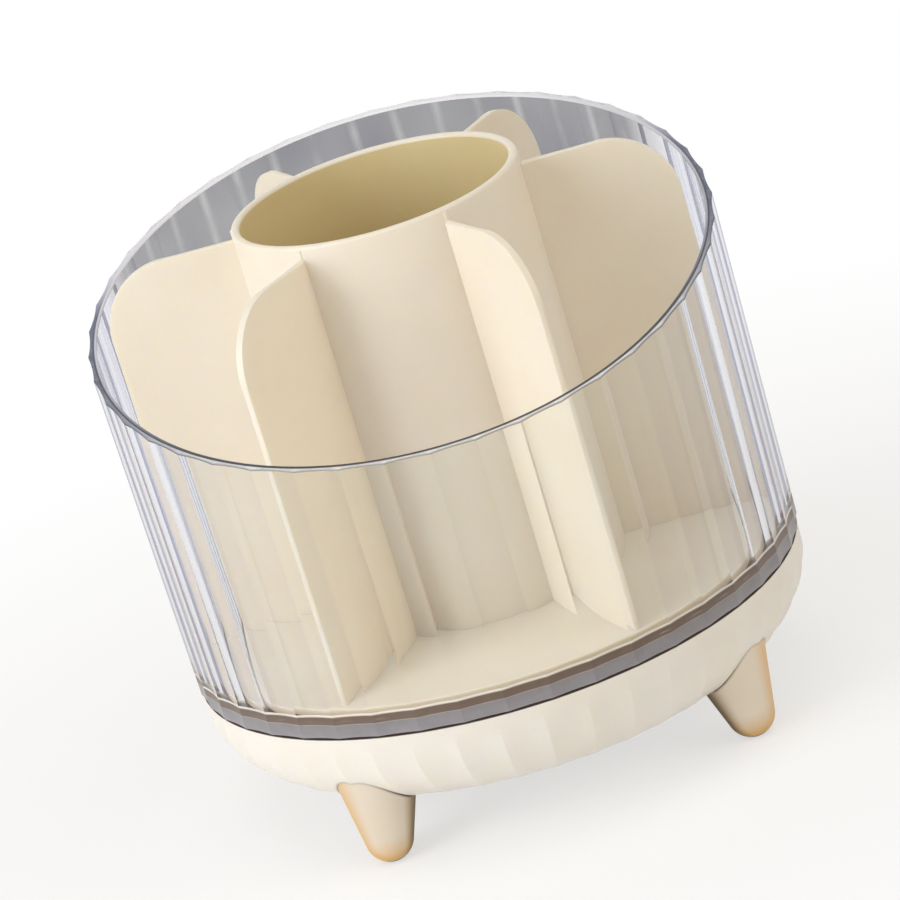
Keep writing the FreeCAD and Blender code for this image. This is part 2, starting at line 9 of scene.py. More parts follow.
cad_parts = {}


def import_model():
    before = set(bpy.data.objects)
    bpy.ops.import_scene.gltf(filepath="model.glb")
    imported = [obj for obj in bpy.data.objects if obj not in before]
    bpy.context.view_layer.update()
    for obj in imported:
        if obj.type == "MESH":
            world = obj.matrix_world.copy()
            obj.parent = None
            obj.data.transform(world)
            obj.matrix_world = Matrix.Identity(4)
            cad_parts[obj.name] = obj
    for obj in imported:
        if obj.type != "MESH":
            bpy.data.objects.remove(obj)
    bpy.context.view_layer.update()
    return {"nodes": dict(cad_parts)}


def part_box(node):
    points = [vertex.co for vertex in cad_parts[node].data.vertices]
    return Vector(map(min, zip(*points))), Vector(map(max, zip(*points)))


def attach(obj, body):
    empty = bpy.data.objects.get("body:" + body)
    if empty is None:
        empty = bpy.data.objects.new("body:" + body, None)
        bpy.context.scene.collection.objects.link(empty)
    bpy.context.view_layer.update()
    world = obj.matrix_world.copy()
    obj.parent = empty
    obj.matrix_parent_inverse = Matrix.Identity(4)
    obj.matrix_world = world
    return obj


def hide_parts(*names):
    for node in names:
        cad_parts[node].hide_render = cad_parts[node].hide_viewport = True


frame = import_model()
nodes = frame["nodes"]

MM = 0.001
FULL_TURN = 2 * math.pi
QUARTER_TURN = math.pi / 2

# the cup: ridges between shallow flutes, a slanted rim, and a smooth round inside
FLUTES = 44
FLUTE_STEPS = 10
CUP_RADIUS = 72.0 * MM
CUP_GROWTH = math.tan(math.radians(1.04))
CUP_WALL = 2.2 * MM
CUP_FLOOR = 2.6 * MM
CUP_CORNER = 1.6 * MM
CUP_FLUTE = 0.5 * MM
CUP_TURN = math.radians(0.3)
CUP_CREASE = 12
RIM_HEIGHT = 81.6 * MM
RIM_SLOPE = math.tan(math.radians(14.1))
RIM_ROUND = 0.3 * MM
EDGE_BAND = 5.8 * MM

# the cup's screws and their holes; a recess is given by half its length and half its width
CUP_SCREWS = 4
CUP_SCREW_CIRCLE = 27.0 * MM
SCREW_HOLE = 1.55 * MM
SCREW_HEAD_HOLE = 2.85 * MM
SCREW_HEAD_HEIGHT = 1.7 * MM
HOLE_STEPS = 32
RECESS_MOUTH = (1.5 * MM, 0.36 * MM)
RECESS_FOOT = (0.7 * MM, 0.25 * MM)
RECESS_DEPTH = 1.1 * MM
RECESS_TURN = 0.4
RECESS_TURN_APART = 0.9

# the divider insert
INSERT_TURN = math.radians(54)
INSERT_RADIUS = 68.3 * MM
INSERT_FLOOR = 2.1 * MM
INSERT_EDGE = 0.4 * MM
INSERT_GAP = 1.1 * MM
INSERT_RING = (57.3 * MM, 59.3 * MM)
TUBE_RADIUS = 33.7 * MM
TUBE_WALL = 2.0 * MM
TUBE_LIP = 0.8 * MM
FIN_COUNT = 6
FIN_THICKNESS = 1.6 * MM
FIN_REACH = 67.3 * MM
FIN_DROP = 3.0 * MM
FIN_CORNER = 16.0 * MM
FIN_EDGE = 0.55 * MM
SPINE_WIDTH = 0.9 * MM
SPINE_PROUD = 0.3 * MM
SPINE_DROP = 0.8 * MM
SPINE_SINK = 3.0 * MM
SPINE_EDGE = 0.15 * MM

# how finely the meshes are cut, and past which angle an edge stays sharp
CREASE = 30
TURN_STEPS = 240
ROUND_STEPS = 4
WIDE_ROUND_STEPS = 6
FIN_ROUND_STEPS = 20
ON_AXIS = 1e-7

cup_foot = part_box("clear_cup")[0].z
cup_inside = cup_foot + CUP_FLOOR
band_top = cup_foot + EDGE_BAND
insert_under = cup_inside + INSERT_GAP
insert_inside = insert_under + INSERT_FLOOR
tube_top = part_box("divider_insert")[1].z


# mesh making

def arc(centre, radius, first, last, steps=ROUND_STEPS):
    """Points of an arc of (across, height) pairs between two angles in degrees."""
    angles = [math.radians(first + (last - first) * step / steps) for step in range(steps + 1)]
    return [(centre[0] + radius * math.cos(a), centre[1] + radius * math.sin(a)) for a in angles]


def circle(radius, height, steps):
    """A level ring of points round the axis."""
    angles = [FULL_TURN * step / steps for step in range(steps)]
    return [Vector((radius * math.cos(a), radius * math.sin(a), height)) for a in angles]


def piece(name, shape, body, crease=CREASE):
    """A smooth mesh piece on a body, with its edges kept sharp past the crease angle."""
    bmesh.ops.recalc_face_normals(shape, faces=shape.faces)
    mesh = bpy.data.meshes.new(name)
    shape.to_mesh(mesh)
    shape.free()
    mesh.shade_smooth()
    mesh.set_sharp_from_angle(angle=math.radians(crease))
    made = bpy.data.objects.new(name, mesh)
    bpy.context.scene.collection.objects.link(made)
    if body:
        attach(made, body)
    return made


def skinned(rings, shape=None):
    """Rings of points joined by faces, the first and last ring closed with a face."""
    shape = shape or bmesh.new()
    loops = [[shape.verts.new(point) for point in ring] for ring in rings]
    for low, high in zip(loops, loops[1:]):
        for index in range(len(low)):
            after = (index + 1) % len(low)
            shape.faces.new((low[index], low[after], high[after], high[index]))
    shape.faces.new(loops[0])
    shape.faces.new(loops[-1])
    return shape


def lathe(profile, steps=TURN_STEPS):
    """A closed profile of (radius, height) points turned about the axis, points on the axis being shared."""
    shape = bmesh.new()
    loops = []
    for radius, height in profile:
        if radius < ON_AXIS:
            loops.append([shape.verts.new((0, 0, height))] * steps)
        else:
            loops.append([shape.verts.new(point) for point in circle(radius, height, steps)])
    closing = loops[1:] + ([loops[0]] if profile[0][0] > ON_AXIS else [])
    for low, high in zip(loops, closing):
        for index in range(steps):
            after = (index + 1) % steps
            corners = [low[index], low[after], high[after], high[index]]
            corners = [vert for place, vert in enumerate(corners) if vert not in corners[:place]]
            if len(corners) > 2:
                shape.faces.new(corners)
    return shape


def plate(outline, thickness, edge, turns):
    """Upright plates of an (across, height) outline with softened edges, one at each turn about the axis."""
    shape = bmesh.new()
    for angle in turns:
        spin = Matrix.Rotation(angle, 4, "Z")
        sides = []
        for offset in (-thickness / 2, thickness / 2):
            sides.append([shape.verts.new(spin @ Vector((x, offset, z))) for x, z in outline])
        near, far = shape.faces.new(sides[0]), shape.faces.new(sides[1][::-1])
        for index in range(len(outline)):
            after = (index + 1) % len(outline)
            shape.faces.new((sides[0][after], sides[0][index], sides[1][index], sides[1][after]))
        rims = list(near.edges) + list(far.edges)
        bmesh.ops.bevel(shape, geom=rims, offset=edge, segments=ROUND_STEPS, profile=0.5, affect="EDGES")
    return shape


def combined(made, shape, operation, crease=CREASE):
    """The piece after its union or difference with another shape."""
    tool = piece(made.name + "_tool", shape, None)
    step = made.modifiers.new("combine", "BOOLEAN")
    step.operation = operation
    step.solver = "EXACT"
    step.object = tool
    bpy.context.view_layer.update()
    result = bpy.data.meshes.new_from_object(made.evaluated_get(bpy.context.evaluated_depsgraph_get()))
    made.modifiers.clear()
    made.data = result
    bpy.data.objects.remove(tool)
    result.shade_smooth()
    result.set_sharp_from_angle(angle=math.radians(crease))
    return made


# the cup

def flute_depth(angle):
    """How far a flute goes in at that angle, from 0 on a ridge to 1 in the middle of a flute."""
    share = (angle * FLUTES / FULL_TURN) % 1
    return 1 - (2 * share - 1) ** 2


def cup_ring(inset, height=None, under_rim=0, smooth=False):
    """A ring of the cup at a height, or else that far under the slanted rim; smooth rings have no flutes."""
    points = []
    count = FLUTES * FLUTE_STEPS
    for step in range(count):
        angle = FULL_TURN * step / count
        start = CUP_RADIUS - inset - (0 if smooth else CUP_FLUTE * flute_depth(angle + math.pi / FLUTES))
        level = height
        turned = angle + CUP_TURN
        if height is None:
            lean = math.sin(turned) * RIM_SLOPE
            at_rim = cup_foot + RIM_HEIGHT - under_rim
            level = (at_rim + (start - CUP_GROWTH * cup_foot) * lean) / (1 - CUP_GROWTH * lean)
        radius = start + CUP_GROWTH * (level - cup_foot)
        points.append((radius * math.cos(turned), radius * math.sin(turned), level))
    return points


def screw_places():
    """Where the axes of the cup's screws stand."""
    return circle(CUP_SCREW_CIRCLE, 0, CUP_SCREWS)


def screw_holes():
    """Cutters for the countersunk holes of the cup's screws, a little longer than the floor is thick."""
    cutters = bmesh.new()
    for middle in screw_places():
        rings = []
        for radius, height in (
            (SCREW_HOLE, cup_foot - MM),
            (SCREW_HOLE, cup_inside - SCREW_HEAD_HEIGHT),
            (SCREW_HEAD_HOLE, cup_inside),
            (SCREW_HEAD_HOLE + MM, cup_inside + MM),
        ):
            rings.append([middle + point for point in circle(radius, height, HOLE_STEPS)])
        skinned(rings, cutters)
    return cutters


def clear_cup():
    """The fluted cup, from its foot up over the rounded rim and down to its floor."""
    bend = RIM_ROUND * (1 - math.sqrt(0.5))
    rings = [cup_ring(0, cup_foot), cup_ring(0, band_top)]
    for inset, drop in ((0, RIM_ROUND), (bend, bend), (RIM_ROUND, 0)):
        rings.append(cup_ring(inset, under_rim=drop))
    for inset, drop in ((CUP_WALL - RIM_ROUND, 0), (CUP_WALL - bend, bend), (CUP_WALL, RIM_ROUND)):
        rings.append(cup_ring(inset, under_rim=drop, smooth=True))
    for across, up in arc((-CUP_CORNER, CUP_CORNER), CUP_CORNER, 0, -90, WIDE_ROUND_STEPS):
        rings.append(cup_ring(CUP_WALL - across, cup_inside + up, smooth=True))
    cup = piece("cup", skinned(rings), "turntable", CUP_CREASE)
    combined(cup, screw_holes(), "DIFFERENCE", CUP_CREASE)
    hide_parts("clear_cup")
    return cup


def cup_screws():
    """The four screws of the cup, each with a cross recess in its head."""
    shape = bmesh.new()
    shape.from_mesh(nodes["cup_screws"].data)
    screws = piece("cup_screw_set", shape, "turntable")
    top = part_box("cup_screws")[1].z
    for turn in (0, QUARTER_TURN):
        slots = bmesh.new()
        for index, middle in enumerate(screw_places()):
            spin = Matrix.Rotation(turn + RECESS_TURN + index * RECESS_TURN_APART, 4, "Z")
            rings = []
            for (half, wide), height in (
                (RECESS_FOOT, top - RECESS_DEPTH),
                (RECESS_MOUTH, top),
                (RECESS_MOUTH, top + MM),
            ):
                outline = ((half, wide), (-half, wide), (-half, -wide), (half, -wide))
                rings.append([middle + spin @ Vector((x, y, height)) for x, y in outline])
            skinned(rings, slots)
        combined(screws, slots, "DIFFERENCE")
    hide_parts("cup_screws")
    return screws


# the divider insert

def divider_insert():
    """The floor disc with its foot ring and tube, then the fins, then the small rib over each fin."""
    bore = TUBE_RADIUS - TUBE_WALL
    profile = [(0, insert_under), (INSERT_RING[0], insert_under), (INSERT_RING[0], cup_inside)]
    profile += [(INSERT_RING[1], cup_inside), (INSERT_RING[1], insert_under)]
    profile += arc((INSERT_RADIUS - INSERT_EDGE, insert_under + INSERT_EDGE), INSERT_EDGE, -90, 0)
    profile += arc((INSERT_RADIUS - INSERT_EDGE, insert_inside - INSERT_EDGE), INSERT_EDGE, 0, 90)
    profile += [(TUBE_RADIUS, insert_inside)]
    profile += arc((TUBE_RADIUS - TUBE_LIP, tube_top - TUBE_LIP), TUBE_LIP, 0, 90, WIDE_ROUND_STEPS)
    profile += arc((bore + TUBE_LIP, tube_top - TUBE_LIP), TUBE_LIP, 90, 180, WIDE_ROUND_STEPS)
    profile += [(bore, insert_inside), (0, insert_inside)]
    insert = piece("insert", lathe(profile), "insert")
    turns = [INSERT_TURN + FULL_TURN * index / FIN_COUNT for index in range(FIN_COUNT)]
    root = TUBE_RADIUS - TUBE_WALL / 2
    fin_top = tube_top - FIN_DROP
    fin_foot = insert_inside - INSERT_FLOOR / 2
    fin = [(root, fin_foot), (FIN_REACH, fin_foot)]
    fin += arc((FIN_REACH - FIN_CORNER, fin_top - FIN_CORNER), FIN_CORNER, 0, 90, FIN_ROUND_STEPS)
    fin += [(root, fin_top)]
    combined(insert, plate(fin, FIN_THICKNESS, FIN_EDGE, turns), "UNION")
    face, spine_foot, spine_top = TUBE_RADIUS + SPINE_PROUD, fin_top - SPINE_SINK, tube_top - SPINE_DROP
    spine = [(root, spine_foot), (face, spine_foot), (face, spine_top), (root, spine_top)]
    combined(insert, plate(spine, SPINE_WIDTH, SPINE_EDGE, turns), "UNION")
    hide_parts("divider_insert")
    return insert


# how finishes are made

# the parts of a noise's run from 0 to 1 that its effects are laid over
WIDE_RUN = (0.3, 0.7)
NARROW_RUN = (0.35, 0.65)

# how close a face has to stand to count as a joint, and how open the place then is
JOINT_REACH = 0.8 * MM
JOINT_OPEN = (0.8, 0.95)
# the painted shade laid along joints, where another face stands close
JOINT_SHADE = "3a2e20"


class Signal:
    """A socket of a finish, so that the maths on it can be written as an expression."""

    def __init__(self, finish, socket):
        self.finish = finish
        self.socket = socket

    def worked(self, operation, first, second):
        return self.finish.node("ShaderNodeMath", {"operation": operation}, {0: first, 1: second})

    def __add__(self, other):
        return self.worked("ADD", self, other)

    def __radd__(self, other):
        return self.worked("ADD", other, self)

    def __sub__(self, other):
        return self.worked("SUBTRACT", self, other)

    def __rsub__(self, other):
        return self.worked("SUBTRACT", other, self)

    def __mul__(self, other):
        return self.worked("MULTIPLY", self, other)

    def __rmul__(self, other):
        return self.worked("MULTIPLY", other, self)


class Finish:
    """A material, or the room's light, and the one method that adds nodes to it."""

    def __init__(self, owner):
        self.owner = owner
        owner.use_nodes = True
        self.tree = owner.node_tree
        self.tree.nodes.clear()

    def node(self, kind, settings=None, inputs=None, output=0):
        """Adds a node, with its settings first and then the values or links of its sockets."""
        made = self.tree.nodes.new(kind)
        for name, value in (settings or {}).items():
            if name == "stops":
                set_stops(made.color_ramp.elements, value)
            else:
                setattr(made, name, value)
        for name, value in (inputs or {}).items():
            if isinstance(value, Signal):
                self.tree.links.new(value.socket, made.inputs[name])
            else:
                made.inputs[name].default_value = value
        return Signal(self, made.outputs[output]) if len(made.outputs) else None

    def place(self):
        return self.node("ShaderNodeTexCoord", output="Object")

    def normal(self):
        return self.node("ShaderNodeNewGeometry", output="Normal")

    def part(self, vector, axis):
        """A vector's share along one axis."""
        return self.node("ShaderNodeSeparateXYZ", inputs={0: vector}, output=axis)

    def height(self):
        return self.part(self.place(), "Z")

    def length(self, vector):
        return self.node("ShaderNodeVectorMath", {"operation": "LENGTH"}, {0: vector}, output="Value")

    def from_axis(self):
        """The distance from the holder's axis."""
        inputs = {0: self.place(), 1: (1, 1, 0)}
        return self.length(self.node("ShaderNodeVectorMath", {"operation": "MULTIPLY"}, inputs))

    def noise(self, size, detail=2):
        """Soft noise with grains of about that size, the same from all sides."""
        inputs = {"Vector": self.place(), "Scale": 1 / size, "Detail": detail}
        return self.node("ShaderNodeTexNoise", inputs=inputs)

    def spread(self, value, low, high, first, second):
        """The value's run from low to high laid onto first to second."""
        inputs = {"Value": value, "From Min": low, "From Max": high, "To Min": first, "To Max": second}
        return self.node("ShaderNodeMapRange", inputs=inputs)

    def tint(self, share, first, second):
        """The first colour going over into the second."""
        inputs = {0: share, 6: first, 7: second}
        return self.node("ShaderNodeMix", {"data_type": "RGBA"}, inputs, output=2)

    def graded(self, share, colours):
        """Colours at their stops along a share from 0 to 1."""
        stops = [(at, colour(code)) for at, code in colours]
        return self.node("ShaderNodeValToRGB", {"stops": stops}, {"Fac": share})

    def bump(self, height, distance):
        return self.node("ShaderNodeBump", inputs={"Height": height, "Distance": distance})

    def facing(self):
        """0 where the surface is seen square on, 1 where it is seen edge on."""
        return self.node("ShaderNodeLayerWeight", inputs={"Blend": 0.5}, output="Facing")

    def rays(self, name):
        """What is known of the ray that meets the surface."""
        return self.node("ShaderNodeLightPath", output=name)

    def near_joint(self):
        """The share of a joint's painted shade: 1 where another face stands close, as at the foot of a joint, going to
        0.
        """
        open_share = self.node("ShaderNodeAmbientOcclusion", {"samples": 8}, {"Distance": JOINT_REACH}, output="AO")
        return self.spread(open_share, *JOINT_OPEN, 1, 0)

    def surface(self, **inputs):
        """The principled shader, with underscores in its sockets' names read as spaces."""
        named = {name.replace("_", " "): value for name, value in inputs.items()}
        return self.node("ShaderNodeBsdfPrincipled", inputs=named)

    def mixed(self, share, first, second):
        """The first shader going over into the second."""
        return self.node("ShaderNodeMixShader", inputs={0: share, 1: first, 2: second})

    def in_shade(self, share, skin, code):
        """A skin with a painted shade of that colour over it by that share."""
        return self.mixed(share, skin, self.surface(Base_Color=colour(code), Roughness=0.7))

    def done(self, shader, output="ShaderNodeOutputMaterial"):
        self.node(output, inputs={"Surface": shader})
        return self.owner


def new_finish(name):
    return Finish(bpy.data.materials.new(name))


def set_stops(ramp, stops):
    """Gives a colour ramp its stops, each a place from 0 to 1 and a colour."""
    while len(ramp) < len(stops):
        ramp.new(0.5)
    for element, (position, tone) in zip(ramp, stops):
        element.position = position
        element.color = tone


def colour(code):
    """A linear colour from its written six-figure code."""
    values = [int(code[place:place + 2], 16) / 255 for place in (0, 2, 4)]
    linear = [v / 12.92 if v <= 0.04045 else ((v + 0.055) / 1.055) ** 2.4 for v in values]
    return (*linear, 1)


def coat(material, *things):
    """Puts one material on nodes, given by name, or on pieces."""
    for thing in things:
        made = nodes[thing] if isinstance(thing, str) else thing
        made.data.materials.clear()
        made.data.materials.append(material)


# cream plastic and champagne metal

# the cream: its clouds and grain, its gloss, and the depth that light goes into it
CREAM_CLOUD = 22 * MM
CREAM_GRAIN = 0.35 * MM
CREAM_RELIEF = 0.01 * MM
CREAM_ROUGHNESS = (0.34, 0.46)
CREAM_DEPTH = 3.0 * MM

# the shade on the bowl's lip under the seam, measured down from its top
LIP_SHADE = "110d08"
LIP_SHADE_FROM = 0.3 * MM
LIP_SHADE_AT = 0.14 * MM

# the feet: a roughness that runs across 0.27 comes out of the denoiser with specks, so theirs stays above it
FOOT_CLOUD = 9 * MM
FOOT_GRAIN = 0.5 * MM
FOOT_RELIEF = 0.002 * MM
FOOT_ROUGHNESS = (0.29, 0.34)

# the feet's gold at the tip up to that height, and their painted golden sheen where they are seen edge on
FOOT_GOLD = "d8a020"
FOOT_GOLD_TOP = 7 * MM
FOOT_GOLD_SHARE = 0.8
FOOT_SHEEN_RUN = (0.3, 0.8)

# their painted shade, a darker tone and a dark shader, where they face the holder's middle and are seen edge on
FOOT_INNER_SHADE_TONE = "7a6230"
FOOT_INNER_SHADE = "463616"
FOOT_INNER_SHARE = 0.9
FOOT_INNER_RUN = (-0.5, 0.35)
FOOT_INNER_EDGE_RUN = (0.12, 0.6)


def cream_moulding(name, pale, deep, lip=None):
    """Cream moulded plastic: a satin skin with a very fine grain.

    A moulding with a lip at some height gets painted shade there, where the seam shades it, and in its joints.
    """
    finish = new_finish(name)
    cloud = finish.noise(CREAM_CLOUD, 3)
    grain = finish.noise(CREAM_GRAIN)
    skin = finish.surface(
        Base_Color=finish.tint(finish.spread(cloud, *WIDE_RUN, 0, 1), colour(pale), colour(deep)),
        Roughness=finish.spread(grain, *WIDE_RUN, *CREAM_ROUGHNESS),
        IOR=1.47,
        Subsurface_Weight=0.5,
        Subsurface_Radius=(1.0, 0.75, 0.35),
        Subsurface_Scale=CREAM_DEPTH,
        Normal=finish.bump(grain, CREAM_RELIEF),
    )
    if lip is not None:
        # painted shade on the lip under the seam, then painted shade in the joints
        shaded = finish.spread(finish.height(), lip - LIP_SHADE_FROM, lip - LIP_SHADE_AT, 0, 1)
        skin = finish.in_shade(shaded, skin, LIP_SHADE)
        skin = finish.in_shade(finish.near_joint(), skin, JOINT_SHADE)
    return finish.done(skin)


def satin_champagne():
    """The feet's satin champagne metal paint: pale face on and golden at the tip, with a painted golden sheen to the
    edges and a painted shade where it turns in.
    """
    finish = new_finish("satin_champagne")
    grain = finish.noise(FOOT_GRAIN)
    cloud = finish.noise(FOOT_CLOUD)
    edge = finish.facing()
    pale = finish.tint(cloud, colour("e7dccc"), colour("dfd1bb"))
    low = finish.spread(finish.height(), 0, FOOT_GOLD_TOP, FOOT_GOLD_SHARE, 0)
    # painted golden sheen where the foot is seen edge on
    edge_sheen = finish.spread(edge, *FOOT_SHEEN_RUN, 0, FOOT_GOLD_SHARE)
    tinted = finish.tint(edge_sheen + low - edge_sheen * low, pale, colour(FOOT_GOLD))
    out = finish.node("ShaderNodeVectorMath", {"operation": "NORMALIZE"}, {0: finish.place()})
    inputs = {0: out, 1: finish.normal()}
    outwards = finish.node("ShaderNodeVectorMath", {"operation": "DOT_PRODUCT"}, inputs, output="Value")
    # painted shade: where the foot faces the holder's middle and is seen edge on, it goes darker
    inner_shade = finish.spread(outwards, *FOOT_INNER_RUN, 1, 0) * finish.spread(edge, *FOOT_INNER_EDGE_RUN, 0, 1)
    skin = finish.surface(
        Base_Color=finish.tint(inner_shade, tinted, colour(FOOT_INNER_SHADE_TONE)),
        Metallic=0.3,
        Roughness=finish.spread(cloud, *WIDE_RUN, *FOOT_ROUGHNESS),
        Normal=finish.bump(grain, FOOT_RELIEF),
    )
    skin = finish.in_shade(inner_shade * FOOT_INNER_SHARE, skin, FOOT_INNER_SHADE)
    # painted shade in the joint with the bowl
    return finish.done(finish.in_shade(finish.near_joint(), skin, JOINT_SHADE))


# clear styrene

# the tones that the plastic gives to what is seen through it, face on and edge on, and to the lamps' light
CLEAR_TONE = colour("f7f9f6")
SIDE_TONE = colour("dedeee")
SIDE_RUN = (0.15, 0.6)
LAMP_TONE = colour("fdfdfe")

# its flow lines
FLOW_SIZE = 14 * MM
FLOW_RELIEF = 0.02 * MM
FLOW_ROUGHNESS = (0.0, 0.03)

# a painted glow, an emission for the light that paths deep in the plastic would bring, shown after so many mirrorings
DEPTH_GLOW_TONE = colour("a6a8b4")
MIRRORINGS = 3.5

# the shaded gap under the insert's floor, outside the foot ring
GAP_SHADE_TONE = colour("cdb193")
GAP_EASE = 5 * MM

# the painted shade on the far wall, a grey standing in for a darker room seen through it; its clouds,
# and its paler streaks along the ridges, in shares of a flute's width
FAR_WALL_SHADE_TONE = colour("55555f")
FAR_WALL_SHADE_CLOUD = 24 * MM
FAR_WALL_SHADE_LEAST = 0.92
FAR_WALL_RUN = (0.45, 0.62)
RIDGE_WIDTH = 0.14
RIDGE_PALENESS = 0.2

# how much of the edge band and of the rim's outer half is painted, in patches
BAND_PATCH = 5 * MM
BAND_SHARES = (0.76, 0.88)
RIM_PATCH = 2.5 * MM
RIM_SHARES = (0.6, 0.92)
RIM_FIRM = 0.95

# painted shade and painted highlights, tones from the foot of the edge band to its top
EDGE_PAINTED_TONES = (
    (0, "98959a"), (0.53, "918d8f"), (0.55, "b3aca6"), (0.58, "736256"),
    (0.88, "6d5b4e"), (0.93, "e6e1d8"), (1, "f4f1ea"),
)

# painted shade and painted highlights, tones from the rim's low front to its high back: its inner and outer half,
# its inmost lip, and its bent edges
RIM_INSIDE = (
    (0, "453f3b"), (0.1, "1c1a1a"), (0.3, "1d212a"), (0.5, "343b49"),
    (0.64, "535a70"), (0.74, "dcdde8"), (1, "f2f2f8"),
)
RIM_OUTSIDE = (
    (0, "f0efec"), (0.18, "e2e3e6"), (0.32, "8b909c"), (0.44, "454d5c"),
    (0.64, "59617a"), (0.74, "e2e3ec"), (1, "f4f4fa"),
)
RIM_LIP = ((0, "1c1a1a"), (0.2, "3c414c"), (0.36, "9da1ae"), (0.5, "c3c6d2"), (0.7, "dcdde8"), (1, "f2f2f8"))
RIM_LINE = ((0, "9a9693"), (0.2, "62646c"), (0.4, "2f3643"), (0.62, "3f4757"), (0.74, "8e91a4"), (1, "aeb0c1"))

# where those meet, as shares of the wall's thickness from inside, and as how squarely the edge looks up
RIM_HALVES_MEET = (0.42, 0.52)
RIM_LIP_ENDS = (0.24, 0.32)
RIM_LINE_ENDS = (0.8, 0.93)


def ridge_lines(finish):
    """1 along each ridge of the cup, going to 0 at its sides."""
    across, along = (finish.part(finish.place(), axis) for axis in "XY")
    angle = finish.node("ShaderNodeMath", {"operation": "ARCTAN2"}, {0: along, 1: across})
    turns = (angle - CUP_TURN) * (FLUTES / FULL_TURN)
    swing = finish.node("ShaderNodeMath", {"operation": "PINGPONG"}, {0: turns, 1: 0.5})
    return finish.spread(swing, 0, RIDGE_WIDTH, 1, 0)


def far_wall_shade_share(finish, side, flow):
    """How much painted shade the far wall shows from inside: paler along its ridges and to its sides."""
    from_outside = finish.node("ShaderNodeNewGeometry", output="Backfacing")
    square_on = finish.spread(side, *FAR_WALL_RUN, 1, 0)
    streaks = 1 - ridge_lines(finish) * finish.spread(flow, *NARROW_RUN, 0, RIDGE_PALENESS)
    clouds = finish.spread(finish.noise(FAR_WALL_SHADE_CLOUD, 1), *NARROW_RUN, FAR_WALL_SHADE_LEAST, 1)
    return (1 - from_outside) * square_on * (streaks * clouds)


def band_painted_tones(finish):
    """The painted grey and brown shade and pale highlights on the edge of the cup's floor."""
    height = finish.spread(finish.height(), cup_foot, band_top, 0, 1)
    share = finish.spread(finish.noise(BAND_PATCH, 3), *WIDE_RUN, *BAND_SHARES)
    return share, finish.graded(height, EDGE_PAINTED_TONES)


def rim_painted_tones(finish):
    """The rim's painted shade and highlights: dark slate at the sides, a dark line inside a clear one in front,
    white at the back.
    """
    height = finish.height()
    radius = finish.from_axis() - height * CUP_GROWTH
    outmost = CUP_RADIUS - CUP_GROWTH * cup_foot
    wall = finish.spread(radius, outmost - CUP_WALL, outmost, 0, 1)
    mean = cup_foot + RIM_HEIGHT
    reach = RIM_SLOPE * (CUP_RADIUS + CUP_GROWTH * RIM_HEIGHT)
    rise = finish.spread(height, mean - reach, mean + reach, 0, 1)
    outer = finish.spread(wall, *RIM_HALVES_MEET, 0, 1)
    line = finish.spread(finish.part(finish.normal(), "Z"), *RIM_LINE_ENDS, 1, 0)
    lip = finish.spread(wall, *RIM_LIP_ENDS, 1, 0)
    painted_tones = finish.tint(outer, finish.graded(rise, RIM_INSIDE), finish.graded(rise, RIM_OUTSIDE))
    painted_tones = finish.tint(line, painted_tones, finish.graded(rise, RIM_LINE))
    painted_tones = finish.tint(lip, painted_tones, finish.graded(rise, RIM_LIP))
    firm = 1 - outer * (1 - line)
    patchy = finish.spread(finish.noise(RIM_PATCH, 3), *NARROW_RUN, *RIM_SHARES)
    return firm * RIM_FIRM + (1 - firm) * patchy, painted_tones


def clear_moulding(name, shade_far_wall=False, lamp_tone=LAMP_TONE, body=None, gap_from=None):
    """Clear styrene: glossy, with faint flow lines; lamps shine through it, and its depths glow a painted pale slate.

    The far wall gets a painted shade where it is seen from inside. A body gives the share and the colours of the
    painted shade and highlights laid over a part of the moulding. Outside the radius gap_from, the moulding takes the
    painted shade of the gap over it.
    """
    finish = new_finish(name)
    flow = finish.noise(FLOW_SIZE)
    wave = finish.bump(flow, FLOW_RELIEF)
    side = finish.facing()
    tint = finish.tint(finish.spread(side, *SIDE_RUN, 0, 1), CLEAR_TONE, SIDE_TONE)
    if gap_from:
        # painted shade of the gap under the insert's floor, outside the foot ring
        tint = finish.tint(finish.spread(finish.from_axis(), gap_from, gap_from + GAP_EASE, 0, 1), tint, GAP_SHADE_TONE)
    # painted shade on the far wall, where its skin is seen from inside
    if shade_far_wall:
        tint = finish.tint(far_wall_shade_share(finish, side, flow), tint, FAR_WALL_SHADE_TONE)
    shown = finish.surface(
        Base_Color=tint,
        Roughness=finish.spread(flow, *WIDE_RUN, *FLOW_ROUGHNESS),
        IOR=1.49,
        Transmission_Weight=1.0,
        Normal=wave,
    )
    if body:
        share, painted_tones = body(finish)
        # the body's painted shade and highlights, laid over the clear skin
        shown = finish.mixed(share, shown, finish.surface(Base_Color=painted_tones, Roughness=0.45, Normal=wave))
    # painted glow past so many mirrorings, an emission that is no lamp
    mirrored = {0: finish.rays("Glossy Depth"), 1: MIRRORINGS}
    deep = finish.node("ShaderNodeMath", {"operation": "GREATER_THAN"}, mirrored)
    shown = finish.mixed(deep, shown, finish.node("ShaderNodeEmission", inputs={"Color": DEPTH_GLOW_TONE}))
    finish.owner.cycles.emission_sampling = "NONE"
    shadow, bounce = finish.rays("Is Shadow Ray"), finish.rays("Is Diffuse Ray")
    let_through = finish.node("ShaderNodeBsdfTransparent", inputs={"Color": lamp_tone})
    return finish.done(finish.mixed(shadow + bounce - shadow * bounce, shown, let_through))


# the parts inside the base

